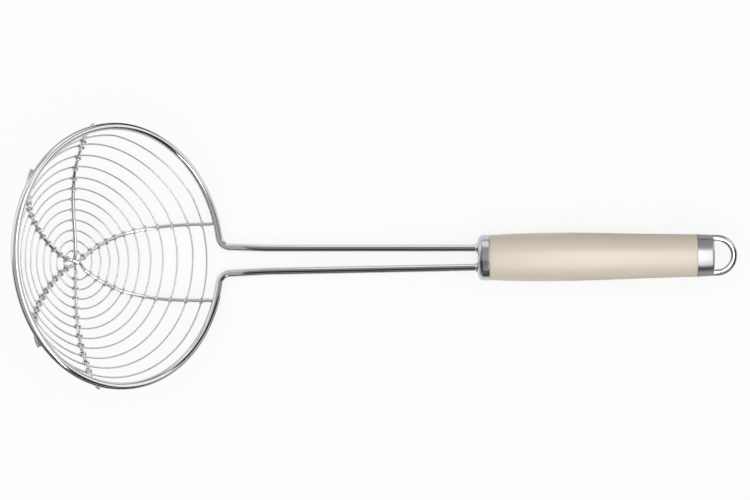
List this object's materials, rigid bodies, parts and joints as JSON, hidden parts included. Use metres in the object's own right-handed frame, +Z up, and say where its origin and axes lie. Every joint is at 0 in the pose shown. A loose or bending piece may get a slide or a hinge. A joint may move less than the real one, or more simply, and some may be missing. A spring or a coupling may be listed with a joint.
{
  "type": "spider skimmer",
  "caption": "Wire basket on a bent wire frame with a barrelled handle and hanging loop, for lifting food out of hot oil or water.",
  "frame": {"origin": "under the middle of the tool's box, on the surface that it lies on", "axes": "+X along the tool from the basket to the hanging loop, +Y across it, +Z up, with the tool at rest on its basket and its grip"},
  "size_m": [0.3786, 0.14, 0.1009],
  "materials": {
    "polished_wire": "drawn and polished stainless steel wire",
    "satin_steel": "satin stainless steel",
    "cream_plastic": "satin moulded plastic"
  },
  "bodies": {
    "root": {"frame_wire": "polished_wire", "cross_rib": "polished_wire", "front_long_rib": "polished_wire", "back_long_rib": "polished_wire", "spiral_wire": "polished_wire", "front_ferrule": "satin_steel", "leg_collars": "satin_steel", "handle_core": "satin_steel", "handle_grip": "cream_plastic", "end_cap": "satin_steel"}
  },
  "joints": []
}
